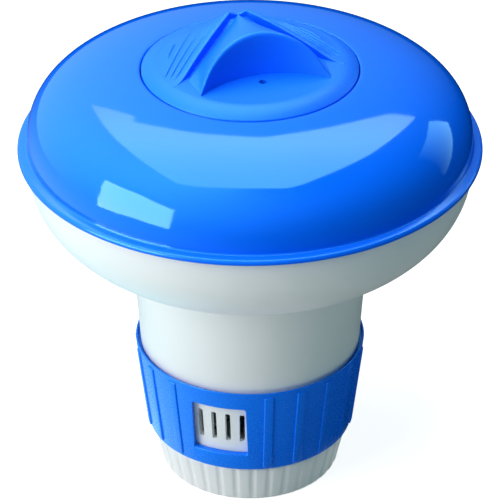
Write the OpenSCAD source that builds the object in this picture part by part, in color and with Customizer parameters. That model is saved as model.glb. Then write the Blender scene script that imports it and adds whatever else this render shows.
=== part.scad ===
// Floating chlorine dispenser: a float of two shells, a screw lid with a hood handle,
// a slotted basket with a turning flow ring, and a weighted foot.
// Millimetres, +Z up, origin in the middle of the foot's lower face.
// The handle's finger scoop faces -Y.

/* [Float] */
// Radius of the rim flange, the widest part
flange_r = 95; // [92:0.5:102]
// Thickness of the rim flange
flange_t = 1.4; // [1.2:0.1:3]
// How far the flange stands out past the foot of the dome
flange_out = 5.5; // [4:0.5:7]
// Rounding where the flange turns up into the dome
flange_fillet = 1.6; // [0.8:0.1:3]
// Height of the dome's crown above the flange
dome_h = 35.8; // [32:0.1:44]
// Fullness of the dome's curve, where 2 is an ellipse
dome_full = 2.8; // [2.2:0.1:3]
// How far the flange overhangs the bowl
bowl_under = 3.4; // [2.5:0.1:5]
// Depth of the bowl below the rim gasket
bowl_h = 51; // [46:1:58]
// Fullness of the bowl's curve, where 2 is an ellipse
bowl_full = 2.4; // [2.2:0.1:2.8]
// Wall of the moulded shells
wall = 2.2; // [1.8:0.1:2.6]
// Thickness of the gasket between the two shells
gasket_t = 1; // [0.6:0.1:1.6]
// Height of the bowl's tongue inside the dome
tongue_h = 5; // [3:0.5:8]

/* [Neck] */
// How far the neck stands out past the filler tube where it leaves the bowl
neck_out = 4.8; // [4.4:0.1:8]
// Height between the flow ring and the lowest point of the bowl
neck_h = 36.6; // [30:0.2:46]
// Rounding where the bowl turns into the neck
neck_fillet = 6; // [4:0.5:9]

/* [Flow ring] */
// Outer radius at the ring's top
ring_top_r = 48.2; // [47.6:0.2:49.2]
// Outer radius at the ring's lower edge
ring_low_r = 43.4; // [43:0.2:44.4]
// Height of the ring
ring_h = 44; // [40:1:52]
// Wall of the ring
ring_wall = 2.6; // [2.2:0.1:3]
// Width of the ring's thin upper lip
ring_lip = 1.6; // [1.2:0.1:2]
// Height of the bevel on the ring's upper edge
ring_bevel = 3.2; // [1:0.2:4]
// Angle of the first window, from the handle's front
window_first = -33; // [-60:1:60]
// Windows around the ring, one for each group of slots
window_n = 3; // [2:1:3]
// Width of a window
window_w = 23.4; // [20:0.2:27]
// Height of a window
window_h = 25; // [20:0.5:28]
// Height of a window's middle above the ring's lower edge
window_mid = 20.6; // [19:0.2:23]
// Grip ribs between two windows
rib_n = 5; // [1:1:5]
// Angle between two grip ribs
rib_pitch = 17; // [10:0.5:17]
// Angle that a grip rib covers
rib_angle = 5; // [2:0.5:7]
// How far a grip rib stands out
rib_out = 0.7; // [0.4:0.1:1.2]

/* [Basket] */
// Slots in a group
slot_n = 4; // [2:1:4]
// Width of a slot
slot_w = 2.2; // [1.6:0.1:3]
// Height of a slot
slot_h = 14.4; // [10:0.2:18]
// Distance between two slots
slot_pitch = 6; // [4.5:0.1:6.2]
// Length of the basket's spigot in the neck
spigot_h = 12; // [8:1:18]
// Thickness of the grate under the tablets
grate_t = 2.4; // [1.8:0.1:3.2]
// Number of slots in the grate
grate_slots = 12; // [6:1:14]

/* [Foot] */
// Radius of the foot's lower edge
base_r = 38; // [37:0.5:39.5]
// Radius of the foot's upper edge
base_top_r = 41.8; // [41.4:0.1:42.6]
// Height of the foot below the flow ring
base_h = 19; // [17:0.5:24]
// Thickness of the foot's floor
floor_t = 2.4; // [2:0.1:4]
// Flutes round the foot
flute_n = 36; // [18:2:40]
// Depth of a flute
flute_d = 0.7; // [0.3:0.1:1]
// Thickness of the ballast disc
ballast_h = 6; // [4:0.5:9]

/* [Lid] */
// Radius of the lid
lid_r = 44; // [43:0.5:45.5]
// Height of the lid's flat top above the seam
lid_rise = 3.4; // [2.6:0.1:4]
// Depth of the lid's outer edge below the seam
lid_edge = 3; // [2:0.1:4]
// Width of the sloping border round the flat top
lid_border = 8; // [6:0.5:9]
// Depth of the lid's skirt in the throat
skirt_h = 9; // [6:0.5:10]
// Depth of the filler throat under the lid's seat
throat_h = 17; // [14:1:22]
// Width of the seat that the lid's seal lies on
seat_w = 2.4; // [2.4:0.1:3.4]

/* [Handle] */
// Height of the hood's crown above the seam, over the scoop's wall
hood_h = 22; // [19:0.5:25]
// Radius of the hood's barrel vault
vault_r = 27.2; // [26:0.2:30]
// Angle at which the vault falls towards the back
vault_fall = 16; // [12:0.5:18]
// Half the distance between the ridges at the front
ridge_front_x = 31.5; // [30:0.5:33]
// How far the ridges' front ends lie before the lid's middle
ridge_front_y = 8.5; // [7:0.5:10]
// Height of the ridges' front ends above the seam
ridge_front_z = 4.2; // [3.9:0.1:6]
// Half the distance between the ridges at the back
ridge_back_x = 4.5; // [4:0.5:6]
// How far the ridges' back ends lie behind the lid's middle
ridge_back_y = 17.5; // [16:0.5:20]
// Height of the ridges' back ends above the seam
ridge_back_z = 17; // [15:0.1:19]
// Width of a ridge's flat top
ridge_w = 2.4; // [2:0.1:3]
// Width of the groove beside a ridge
groove_w = 2.2; // [1.4:0.1:2.6]
// Depth of the groove beside a ridge
groove_d = 2.6; // [1:0.1:3]
// Slope of the hood's flanks
flank_slope = 32; // [28:1:36]
// Grip ribs on a flank
flank_ribs = 4; // [0:1:4]
// Radius of the finger scoop in plan
scoop_r = 39; // [36:0.5:44]
// How far the scoop's wall lies before the lid's middle
scoop_y = 12; // [10:0.1:14]
// Depth of the scoop's floor below the lid's flat top
scoop_sink = 0.5; // [0.2:0.1:1]
// Radius of the vent hole in the scoop's floor
vent_r = 1.65; // [1:0.05:2.5]

/* [Fits] */
// Gap between pieces that turn or lift
turn_gap = 0.4; // [0.3:0.05:0.6]
// Gap between pieces that are pushed together
fit_gap = 0.15; // [0.1:0.05:0.3]
// Thickness of the ring seals
seal_d = 2; // [1.6:0.1:2]

/* [Hidden] */

blue = [0.10, 0.42, 0.93];
white = [0.93, 0.94, 0.92];
black = [0.12, 0.12, 0.13];
iron = [0.36, 0.37, 0.39];
$fn = 96;
curve_steps = 22;

// Heights, from the foot upwards
ring_z = base_h + turn_gap;
ring_top_z = ring_z + ring_h;
bowl_z = ring_top_z + neck_h;
rim_z = bowl_z + bowl_h;
flange_z = rim_z + gasket_t;
dome_z = flange_z + flange_t;

// Float radii
dome_r = flange_r - flange_out;
bowl_r = flange_r - bowl_under;
bowl_inner_r = bowl_r - wall;
tongue_r = bulge_radius(dome_r - wall, dome_h - wall, dome_full, tongue_h) - fit_gap;
gasket_inset = 1;

// Lid, its recess and the filler throat
recess_r = lid_r + turn_gap;
seam_z = dome_z + bulge_height(dome_r, dome_h, dome_full, recess_r);
seat_z = seam_z - lid_edge - seal_d - fit_gap;
throat_r = recess_r - seat_w;
throat_outer_r = throat_r + wall;
throat_z = seat_z - throat_h;
skirt_r = throat_r - turn_gap;
lid_flat_r = lid_r - lid_border;
neck_r = throat_outer_r + neck_out;

// Filler sleeve, its socket on the throat and its seat on the bowl's web
socket_r = throat_outer_r + fit_gap;
socket_outer_r = socket_r + wall;
sleeve_top_z = seat_z - wall - fit_gap;
seal_room = seal_d + fit_gap;
web_top_z = bowl_z + fit_gap;
web_t = 2.4;
sleeve_z = web_top_z + seal_d + fit_gap;
collar_h = 12;
collar_foot_w = 1;

// Ring and basket cones
ring_slope = (ring_top_r - ring_low_r) / (ring_h - ring_bevel);
function ring_outer_at(z) = ring_low_r + ring_slope * (z - ring_z);
function ring_inner_at(z) = ring_outer_at(z) - ring_wall;
function basket_outer_at(z) = ring_inner_at(z) - turn_gap;
mouth_h = 4.8;
mouth_z = ring_top_z - mouth_h;
mouth_r = ring_top_r - ring_lip;
neck_low_r = mouth_r - turn_gap;
neck_low_z = mouth_z + turn_gap;
neck_bore = neck_low_r - wall;
basket_wall = 2;
spigot_r = neck_bore - fit_gap;
basket_bore = spigot_r - basket_wall;
basket_low_r = basket_outer_at(base_h) - basket_wall;
spigot_room = 1;
grate_lift = 1.5;
grate_z = base_h + grate_lift;
grate_r = basket_low_r - fit_gap;
grate_hub_r = 8;
grate_stem_r = 7;
grate_rim_w = 3;
grate_slot_w = 3;
window_z = ring_z + window_mid;
window_step = 360 / window_n;
window_corner = 1;
rib_root = 1;

// Foot
cup_r = base_r - flute_d - fit_gap;
foot_spigot_r = cup_r - fit_gap;
sump_r = foot_spigot_r - basket_wall;
foot_spigot_z = floor_t + fit_gap;
foot_edge = 2;
foot_land_w = 8;
foot_recess_r = base_r - foot_land_w;
foot_recess_d = 0.8;
ballast_r = sump_r - turn_gap;
boss_r = 5;
boss_drop = 1;
boss_h = ballast_h - boss_drop;
boss_fit_r = boss_r + fit_gap;
cutter_r = 2.4;

// Handle: the ridge line on the right, from its front end to its back end
ridge_run = [ridge_back_x - ridge_front_x, ridge_back_y + ridge_front_y];
ridge_rise = ridge_back_z - ridge_front_z;
ridge_heading = atan2(ridge_run[1], ridge_run[0]);
ridge_climb = atan2(ridge_rise, norm(ridge_run));
ridge_len = norm([ridge_run[0], ridge_run[1], ridge_rise]);
ridge_end_slope = 50;
hood_front_y = -scoop_y - ridge_front_y;
hood_deep = 2 * hood_h;
flank_run = hood_deep / tan(flank_slope);
grip_w = 1.2;
grip_h = 0.6;
grip_first = 3;
grip_step = 3.2;
vent_ahead = 6;
vent_y = -scoop_y - vent_ahead;

// Height of a full, rounded profile above its foot, at one radius
function bulge_height(foot_r, height, full, r) = height * pow(1 - pow(r / foot_r, full), 1 / full);

// Radius of such a profile at one height above its foot
function bulge_radius(foot_r, height, full, h) = foot_r * pow(1 - pow(h / height, full), 1 / full);

// One point of such a profile, at an angle from its foot (0) to its crown (90)
function bulge_point(foot_r, height, full, t) =
    [foot_r * pow(cos(t), 2 / full), height * pow(sin(t), 2 / full)];

// Angle of the profile at one radius
function bulge_angle(foot_r, full, r) = acos(pow(r / foot_r, full / 2));

// The profile's points from one radius to another
function bulge_points(foot_r, height, full, r_from, r_to) =
    let (a = bulge_angle(foot_r, full, r_from), b = bulge_angle(foot_r, full, r_to))
    [for (i = [0:curve_steps]) bulge_point(foot_r, height, full, a + (b - a) * i / curve_steps)];

function lifted(points, z) = [for (p = points) [p[0], p[1] + z]];
function hung(points, z) = [for (p = points) [p[0], z - p[1]]];
function arc_points(centre, r, from, to, steps) =
    [for (i = [0:steps]) let (a = from + (to - from) * i / steps) centre + r * [cos(a), sin(a)]];

// Flat ring with a rectangular section
module band(inner, outer, low, high) {
    rotate_extrude() translate([inner, low]) square([outer - inner, high - low]);
}

// Ring seal with a round section
module ring_seal(middle_r, low) {
    rotate_extrude() translate([middle_r, low + seal_d / 2]) circle(d = seal_d, $fn = 32);
}

// Rounded rectangle, cut or raised along -Y
module rounded_bar(w, h, corner, depth) {
    rotate([90, 0, 0]) linear_extrude(depth) union() {
        square([w - 2 * corner, h], center = true);
        square([w, h - 2 * corner], center = true);
        for (x = [-1, 1], y = [-1, 1])
            translate([x * (w / 2 - corner), y * (h / 2 - corner)]) circle(corner, $fn = 24);
    }
}

// Blue upper half of the float
module dome_shell() {
    foot_r = bulge_radius(dome_r, dome_h, dome_full, flange_fillet);
    outer = lifted(bulge_points(dome_r, dome_h, dome_full, foot_r, recess_r), dome_z);
    fillet = arc_points([dome_r, dome_z] + flange_fillet * [1, 1], flange_fillet, 270, 190, 4);
    inner_r = dome_r - wall;
    inner_top = throat_outer_r + wall;
    inner = lifted(bulge_points(inner_r, dome_h - wall, dome_full, inner_top, inner_r), dome_z);
    edge = flange_t / 3;
    color(blue) rotate_extrude() polygon(concat(
        [[inner_r, flange_z], [flange_r - edge, flange_z], [flange_r, flange_z + edge],
         [flange_r, dome_z - edge], [flange_r - edge, dome_z]],
        fillet,
        outer,
        [[recess_r, seat_z], [throat_r, seat_z], [throat_r, throat_z], [throat_outer_r, throat_z],
         [throat_outer_r, seat_z - wall], [inner_top, seat_z - wall]],
        inner
    ));
}

// White lower half of the float: bowl, neck, and the web and collar that carry the sleeve
module bowl_shell() {
    turn_in = 105;
    blend_r = neck_r + neck_fillet * (1 + cos(turn_in));
    blend_z = rim_z - bulge_height(bowl_r, bowl_h, bowl_full, blend_r) - neck_fillet * sin(turn_in);
    bowl = hung(bulge_points(bowl_r, bowl_h, bowl_full, bowl_r, blend_r), rim_z);
    blend = arc_points([neck_r + neck_fillet, blend_z], neck_fillet, turn_in, 180, 6);
    inner_h = bowl_h - wall;
    collar_r = throat_outer_r + fit_gap;
    collar_outer_r = collar_r + wall;
    inner_end_r = max(collar_outer_r, neck_r - wall) + collar_foot_w;
    inner_rim_r = bulge_radius(bowl_inner_r, inner_h, bowl_full, wall);
    inner = hung(bulge_points(bowl_inner_r, inner_h, bowl_full, inner_end_r, inner_rim_r), rim_z);
    collar_z = rim_z - bulge_height(bowl_inner_r, inner_h, bowl_full, inner_end_r);
    neck_bore_z = neck_low_z + spigot_h + spigot_room;
    web_z = web_top_z - web_t;
    color(white) rotate_extrude() polygon(concat(
        [[tongue_r, rim_z]],
        bowl,
        blend,
        [[neck_low_r, neck_low_z], [neck_bore, neck_low_z], [neck_bore, neck_bore_z],
         [neck_r - wall, web_z - wall], [throat_r, web_z], [throat_r, web_top_z], [collar_r, web_top_z],
         [collar_r, web_top_z + collar_h], [collar_outer_r, web_top_z + collar_h],
         [collar_outer_r, collar_z]],
        inner,
        [[tongue_r - wall, rim_z], [tongue_r - wall, dome_z + tongue_h], [tongue_r, dome_z + tongue_h]]
    ));
}

// Gasket clamped between the flange and the bowl's rim
module rim_gasket() {
    color(black) band(tongue_r + fit_gap, bowl_r - gasket_inset, rim_z, flange_z);
}

// Tube from the throat to the neck, with a socket at the top
module filler_sleeve() {
    socket_z = throat_z - fit_gap;
    seat = sleeve_top_z - seal_room;
    color(white) rotate_extrude() polygon([
        [throat_r, sleeve_z], [throat_outer_r, sleeve_z], [throat_outer_r, socket_z - 2 * wall],
        [socket_outer_r, socket_z - wall], [socket_outer_r, seat - wall],
        [socket_outer_r + seal_d, seat], [socket_outer_r + seal_d, sleeve_top_z],
        [socket_r + seal_room, sleeve_top_z], [socket_r + seal_room, seat], [socket_r, seat],
        [socket_r, socket_z], [throat_r, socket_z]
    ]);
}

// Ring seal round the throat, in the sleeve's socket
module sleeve_top_seal() {
    middle_r = throat_outer_r + seal_room / 2 + fit_gap / 2;
    color(black) ring_seal(middle_r, sleeve_top_z - seal_room + fit_gap / 2);
}

// Ring seal under the sleeve, on the bowl's web
module sleeve_foot_seal() {
    color(black) ring_seal((throat_r + throat_outer_r) / 2, web_top_z + fit_gap / 2);
}

// One group of slots, cut from the middle outwards along -Y
module slot_group() {
    for (i = [0:slot_n - 1])
        rotate([0, 0, (i - (slot_n - 1) / 2) * slot_pitch / basket_outer_at(window_z) * 180 / PI])
            translate([0, 0, window_z]) rounded_bar(slot_w, slot_h, slot_w / 3, ring_top_r);
}

// Slotted tube that holds the tablets
module slot_basket() {
    color(white) difference() {
        rotate_extrude() polygon([
            [sump_r, foot_spigot_z], [foot_spigot_r, foot_spigot_z], [foot_spigot_r, base_h],
            [basket_outer_at(base_h), base_h], [basket_outer_at(neck_low_z), neck_low_z],
            [spigot_r, neck_low_z], [spigot_r, neck_low_z + spigot_h], [basket_bore, neck_low_z + spigot_h],
            [basket_bore, neck_low_z - spigot_room], [basket_low_r, grate_z], [sump_r, grate_z]
        ]);
        for (i = [0:window_n - 1])
            rotate([0, 0, window_turn(i)]) slot_group();
    }
}

// Slotted floor under the tablets, with a stem that holds the ballast down
module tablet_grate() {
    slot_len = grate_r - grate_rim_w - grate_hub_r;
    stem_z = floor_t + ballast_h + turn_gap;
    color(white) difference() {
        union() {
            translate([0, 0, grate_z]) cylinder(r = grate_r, h = grate_t);
            translate([0, 0, stem_z]) cylinder(r = grate_stem_r, h = grate_z + grate_t - stem_z);
        }
        for (i = [0:grate_slots - 1])
            rotate([0, 0, i * 360 / grate_slots])
                translate([grate_hub_r, -grate_slot_w / 2, grate_z - grate_t])
                    cube([slot_len, grate_slot_w, 3 * grate_t]);
    }
}

// Weight in the foot, on the foot's boss
module ballast_disc() {
    color(iron) band(boss_fit_r, ballast_r, floor_t, floor_t + ballast_h);
}

// Fluted foot that closes the basket and carries the ring
module base_cap() {
    lean = atan((base_top_r - base_r) / (base_h - foot_edge));
    color(white) difference() {
        rotate_extrude() polygon([
            [0, foot_recess_d], [foot_recess_r, foot_recess_d], [foot_recess_r + foot_recess_d, 0],
            [base_r - foot_edge, 0], [base_r - foot_edge / 3, foot_edge / 3], [base_r, foot_edge],
            [base_top_r, base_h - foot_edge / 2], [base_top_r - foot_edge / 2, base_h],
            [cup_r, base_h], [cup_r, floor_t], [boss_r, floor_t], [boss_r, floor_t + boss_h],
            [0, floor_t + boss_h]
        ]);
        for (i = [0:flute_n - 1])
            rotate([0, 0, (i + 0.5) * 360 / flute_n])
                translate([base_r + cutter_r - flute_d, 0, foot_edge]) rotate([0, lean, 0])
                    translate([0, 0, -2 * foot_edge])
                        cylinder(r = cutter_r, h = base_h + foot_edge, $fn = 32);
    }
}

// Turn of one window and its slots about the axis, for shapes drawn along -Y
function window_turn(i) = window_first + i * window_step;

// One grip rib, following the ring's cone
module ring_rib() {
    top = ring_h - 2 * ring_bevel;
    low = ring_bevel;
    rotate([0, 0, -90 - rib_angle / 2]) rotate_extrude(angle = rib_angle) polygon([
        [ring_outer_at(ring_z + low) - rib_root, ring_z + low], [ring_outer_at(ring_z + low), ring_z + low],
        [ring_outer_at(ring_z + low + rib_out) + rib_out, ring_z + low + rib_out],
        [ring_outer_at(ring_z + top - rib_out) + rib_out, ring_z + top - rib_out],
        [ring_outer_at(ring_z + top), ring_z + top],
        [ring_outer_at(ring_z + top) - rib_root, ring_z + top]
    ]);
}

// Turning collar that opens or covers the slots
module flow_ring() {
    edge = ring_wall / 4;
    ledge_r = ring_inner_at(mouth_z);
    color(blue) difference() {
        union() {
            rotate_extrude() polygon([
                [ring_low_r - ring_wall, ring_z], [ring_low_r - edge, ring_z],
                [ring_outer_at(ring_z + edge), ring_z + edge],
                [ring_top_r, ring_top_z - ring_bevel], [mouth_r + ring_lip / 4, ring_top_z],
                [mouth_r, ring_top_z], [mouth_r, mouth_z], [ledge_r, mouth_z]
            ]);
            for (i = [0:window_n - 1], k = [0:rib_n - 1])
                rotate([0, 0, window_turn(i) + window_step / 2 + (k - (rib_n - 1) / 2) * rib_pitch])
                    ring_rib();
        }
        for (i = [0:window_n - 1])
            rotate([0, 0, window_turn(i)]) translate([0, 0, window_z])
                rounded_bar(window_w, window_h, window_corner, 2 * ring_top_r);
    }
}

// Ring seal under the lid, round its skirt
module lid_seal() {
    color(black) ring_seal((throat_r + recess_r) / 2 + fit_gap / 2, seat_z + fit_gap / 2);
}

// Place of the right ridge's front end, with X along the ridge
module at_ridge() {
    translate([ridge_front_x, -ridge_front_y, ridge_front_z])
        rotate([0, -ridge_climb, ridge_heading]) children();
}

// Section drawn in (outwards, up) and run along the right ridge
module along_ridge(from, to) {
    at_ridge() translate([from, 0, 0]) rotate([90, 0, 90])
        linear_extrude(to - from) mirror([1, 0]) children();
}

// Both sides of the handle
module both_sides() {
    children();
    mirror([1, 0, 0]) children();
}

// Everything under the right flank, sunk by an inset
module under_flank(inset) {
    along_ridge(-2 * lid_r, 2 * lid_r)
        translate([0, -inset]) polygon([
            [ridge_w / 2, 0], [ridge_w / 2 + flank_run, -hood_deep], [-3 * lid_r, -hood_deep],
            [-3 * lid_r, hood_deep], [ridge_w / 2 - flank_run, hood_deep]
        ]);
}

// Falling barrel vault between the two flanks and a sloping back
module hood_core(inset) {
    back_y = ridge_back_y + ridge_w - inset;
    intersection() {
        translate([0, -scoop_y, hood_h]) rotate([90 - vault_fall, 0, 0]) translate([0, -vault_r, 0])
            cylinder(r = vault_r - inset, h = 4 * lid_r, center = true);
        rotate([90, 0, 90]) translate([0, 0, -lid_r]) linear_extrude(2 * lid_r)
            polygon([
                [hood_front_y, 0], [back_y + ridge_back_z / tan(flank_slope), 0], [back_y, ridge_back_z],
                [hood_front_y, ridge_back_z + (back_y - hood_front_y) * tan(flank_slope)]
            ]);
        under_flank(inset);
        mirror([1, 0, 0]) under_flank(inset);
    }
}

// Ridge with a flat top, a sloping outer flank and a sloping front end
module ridge() {
    end_run = hood_deep / tan(ridge_end_slope);
    intersection() {
        along_ridge(-end_run, ridge_len) polygon([
            [-ridge_w / 2, 0], [ridge_w / 2, 0], [ridge_w / 2 + flank_run, -hood_deep],
            [-ridge_w / 2, -hood_deep]
        ]);
        at_ridge() rotate([90, 0, 0]) linear_extrude(4 * lid_r, center = true)
            polygon([[0, 0], [ridge_len, 0], [ridge_len, -hood_deep], [-end_run, -hood_deep]]);
    }
}

// Room over the ridge and in the groove beside it
module ridge_clearance() {
    groove_x = -ridge_w / 2 - groove_w;
    along_ridge(-ridge_len, 2 * ridge_len)
        translate([groove_x, 0]) square([groove_w + 2 * ridge_w, hood_deep]);
    along_ridge(0, ridge_len - groove_w) translate([groove_x, -groove_d]) square([groove_w, hood_deep]);
}

// Grip ribs on the right flank
module flank_grip() {
    for (i = [0:1:flank_ribs - 1])
        let (out = grip_first + i * grip_step)
            along_ridge(grip_step + out / 2, ridge_len - grip_step - out / 2)
                translate([ridge_w / 2 + out, -out * tan(flank_slope)]) rotate(-flank_slope)
                    square([grip_w, 2 * grip_h], center = true);
}

// Upright cylinder whose side is the scoop's wall
module scoop(extra, low) {
    translate([0, -scoop_y - scoop_r, low]) cylinder(r = scoop_r + extra, h = 3 * hood_h);
}

// The whole hood above the lid's flat top
module hood() {
    intersection() {
        translate([0, 0, lid_rise - wall / 2]) cylinder(r = lid_r - lid_border / 3, h = 2 * hood_h);
        difference() {
            union() {
                hood_core(0);
                both_sides() ridge();
                both_sides() flank_grip();
            }
            both_sides() ridge_clearance();
            scoop(0, 0);
        }
    }
}

// Hollow under the hood
module hood_hollow() {
    difference() {
        intersection() {
            hood_core(wall + groove_d);
            translate([0, 0, -lid_edge]) cylinder(r = skirt_r - 2 * wall, h = 2 * hood_h);
        }
        scoop(wall, -lid_edge);
    }
}

// Screw lid with the hood handle
module lid() {
    border = [for (i = [0:6]) [lid_flat_r + lid_border * i / 6, lid_rise * (1 - pow(i / 6, 2))]];
    color(blue) translate([0, 0, seam_z]) difference() {
        union() {
            rotate_extrude() polygon(concat(
                [[0, lid_rise]],
                border,
                [[lid_r, -lid_edge], [skirt_r, -lid_edge], [skirt_r, -lid_edge - skirt_h],
                 [skirt_r - wall, -lid_edge - skirt_h], [skirt_r - wall, -lid_edge],
                 [lid_flat_r - wall, lid_rise - scoop_sink - wall], [0, lid_rise - scoop_sink - wall]]
            ));
            hood();
        }
        hood_hollow();
        intersection() {
            scoop(0, lid_rise - scoop_sink);
            cylinder(r = lid_flat_r - scoop_sink, h = 2 * hood_h);
        }
        translate([0, vent_y, -lid_edge]) cylinder(r = vent_r, h = hood_h, $fn = 32);
    }
}

dome_shell();
bowl_shell();
rim_gasket();
filler_sleeve();
sleeve_top_seal();
sleeve_foot_seal();
slot_basket();
tablet_grate();
ballast_disc();
base_cap();
flow_ring();
lid_seal();
lid();
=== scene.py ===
import math

import bpy
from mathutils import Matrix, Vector


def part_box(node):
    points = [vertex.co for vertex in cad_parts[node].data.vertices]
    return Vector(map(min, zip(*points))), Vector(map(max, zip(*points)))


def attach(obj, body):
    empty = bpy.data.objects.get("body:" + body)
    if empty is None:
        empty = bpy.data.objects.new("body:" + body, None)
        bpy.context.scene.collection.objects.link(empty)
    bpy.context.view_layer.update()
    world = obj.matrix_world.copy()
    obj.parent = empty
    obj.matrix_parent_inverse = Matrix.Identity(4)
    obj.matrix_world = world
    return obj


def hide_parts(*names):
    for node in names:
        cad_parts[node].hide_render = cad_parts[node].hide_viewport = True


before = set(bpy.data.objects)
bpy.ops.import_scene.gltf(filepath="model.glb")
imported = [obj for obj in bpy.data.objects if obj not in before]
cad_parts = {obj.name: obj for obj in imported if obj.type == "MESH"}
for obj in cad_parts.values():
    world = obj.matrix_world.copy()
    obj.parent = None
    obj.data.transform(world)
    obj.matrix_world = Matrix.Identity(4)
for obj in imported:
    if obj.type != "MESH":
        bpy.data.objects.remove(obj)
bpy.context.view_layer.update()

# Looks of a floating chlorine dispenser: glossy blue dome, satin blue screw lid and flow ring, satin white
# bowl and foot. Sizes are in millimetres and become metres where a mesh is made.

MM = 0.001


def corners_of(node):
    """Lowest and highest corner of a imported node, in millimetres."""
    low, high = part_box(node)
    return low / MM, high / MM


dome_low, dome_high = corners_of("dome_shell")
bowl_high = corners_of("bowl_shell")[1]
ring_low, ring_high = corners_of("flow_ring")
base_high = corners_of("base_cap")[1]
lid_low, lid_high = corners_of("lid")

# Roundings of small edges, and gaps between pieces
FINE_R = 0.3
EDGE_R = 0.4
FIT_GAP = 0.15
TURN_GAP = 0.4

# Float: dome with a rounded bead as its brim, gasket and bowl
WALL = 2.2
FLANGE_R = dome_high.x
FLANGE_Z = dome_low.z
FLANGE_T = 1.4
FLANGE_FILLET = 0.9
FILLET_SHARE = 1.4
BRIM_CROWN = 1.2
BRIM_EDGE = 0.5
BRIM_ROUND = 1.3
SEAM_Z = dome_high.z
DOME_R = FLANGE_R - 5.5
DOME_OUTER_R = FLANGE_R - 3.9
DOME_Z = FLANGE_Z + FLANGE_T
DOME_H = 35.8
DOME_FULL = 2.8
GASKET_T = 1
RIM_Z = FLANGE_Z - GASKET_T
RIM_ROUND = 0.5
BOWL_R = FLANGE_R - 3.4
BOWL_H = 51
BOWL_FULL = 2.4
BOWL_Z = RIM_Z - BOWL_H
TONGUE_Z = bowl_high.z

# Lid, its recess and the filler throat
LID_R = lid_high.x
RECESS_R = LID_R + TURN_GAP
RECESS_ROUND = 0.7
SEAT_Z = SEAM_Z - 5.15
THROAT_R = RECESS_R - 2.4
THROAT_OUTER_R = THROAT_R + WALL
THROAT_Z = SEAT_Z - 17
SKIRT_R = THROAT_R - TURN_GAP
LID_RISE = 3.4
LID_EDGE = 3
LID_ROUND = 0.6
LID_BORDER = 8
LID_FLAT_R = LID_R - LID_BORDER
SKIRT_LOW = lid_low.z - SEAM_Z
SCOOP_SINK = 0.5
SCOOP_BEVEL = 0.3
VENT_R = 1.65
VENT_Y = -18

# Hood handle, in millimetres above the seam
HOOD_H = lid_high.z - SEAM_Z
VAULT_R = 27.2
VAULT_FALL = math.radians(16)
SCOOP_R = 39
SCOOP_Y = -12
RIDGE_FRONT = Vector((31.5, -8.5))
RIDGE_BACK = Vector((4.5, 17.5))
RIDGE_FRONT_Z = 4.2
RIDGE_BACK_Z = 17
RIDGE_BOW = 1.1
RIDGE_W = 2.4
GROOVE_W = 2.2
GROOVE_D = 1.4
ROOF_START = -0.1
ROOF_CLIMB = 0.305
CROWN_RIM = 1.8
FOOT_RIM = 4.4
ARCH_FLARE = 2.4
ARCH_END = 0.15
FOOT_R = 37.2
GRIP_RIBS = 4
GRIP_PITCH_FRONT = 2.5
GRIP_PITCH_BACK = 5.6
GRIP_W = 0.42
GRIP_H = 0.7
GRIP_FADE = 4
GRIP_FOOT_FADE = 2
LONG_GRIP_FROM = -2
LONG_GRIP_SPARE = 5
SHORT_GRIP = (10, 24)

# Neck, flow ring and foot
NECK_R = THROAT_OUTER_R + 4.8
NECK_FILLET = 6
NECK_TURN = math.radians(105)
RING_Z = ring_low.z
RING_TOP_Z = ring_high.z
RING_LOW_R = 43.4
RING_TOP_R = 48.2
RING_BEVEL = 3.2
RING_WALL = 2.6
RING_SLOPE = (RING_TOP_R - RING_LOW_R) / (RING_TOP_Z - RING_Z - RING_BEVEL)
MOUTH_R = RING_TOP_R - 1.6
LIP_Z = RING_TOP_Z - 2.6
LIP_R = RING_TOP_R + 0.2
LIP_T = 0.7
LIP_ROUND = 0.35
RING_FOOT_ROUND = 0.7
MOUTH_Z = RING_TOP_Z - 4.8
MOUTH_FLARE = 0.7
NECK_LOW_R = MOUTH_R - TURN_GAP
NECK_LOW_Z = MOUTH_Z + TURN_GAP
WINDOW_FIRST = -33
WINDOW_N = 3
WINDOW_W = 23.4
WINDOW_H = 25
WINDOW_Z = RING_Z + 20.6
WINDOW_ROUND = 1
WINDOW_BEVEL = 0.45
RIB_N = 5
RIB_PITCH = 17
RIB_ANGLE = 5
RIB_OUT = 0.7
RIB_ROOT = 1
RIB_ROUND = 0.5
RIB_LOW = 1.4
RIB_HIGH = 2
BASE_R = 38
BASE_TOP_R = 41.8
BASE_H = base_high.z
BASE_EDGE = 2
BASE_FLOOR = 2.4
FLUTE_N = 36
FLUTE_D = 0.5
FLUTE_R = 2.4

# Fineness of the meshes
TURN_STEPS = 192
CURVE_STEPS = 64
VENT_STEPS = 32
FLUTE_STEPS = 16
WELD = 1e-6
NEAR = 0.06
HOOD_SHARP = 48
RING_SHARP = 35


def fresh():
    """Goes to object mode with nothing selected."""
    if bpy.context.object and bpy.context.object.mode != "OBJECT":
        bpy.ops.object.mode_set(mode="OBJECT")
    bpy.ops.object.select_all(action="DESELECT")


def only(piece):
    """Selects one piece alone and makes it the active one."""
    fresh()
    piece.select_set(True)
    bpy.context.view_layer.objects.active = piece


def smooth(piece, angle=30):
    """Shades a piece smooth, with sharp edges kept above an angle in degrees."""
    only(piece)
    bpy.ops.object.shade_smooth_by_angle(angle=math.radians(angle))


def arc(corner, before, after, rounding, steps=6):
    """Points of the arc that rounds a corner between two directions."""
    half = before.angle(after) / 2
    middle = corner + (before + after).normalized() * rounding / math.sin(half)
    start = corner + before * rounding / math.tan(half) - middle
    end = corner + after * rounding / math.tan(half) - middle
    turn = start.angle(end)
    points = []
    for k in range(steps + 1):
        share = k / steps
        arm = start * math.sin((1 - share) * turn) + end * math.sin(share * turn)
        points.append(middle + arm / math.sin(turn))
    return points


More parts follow.
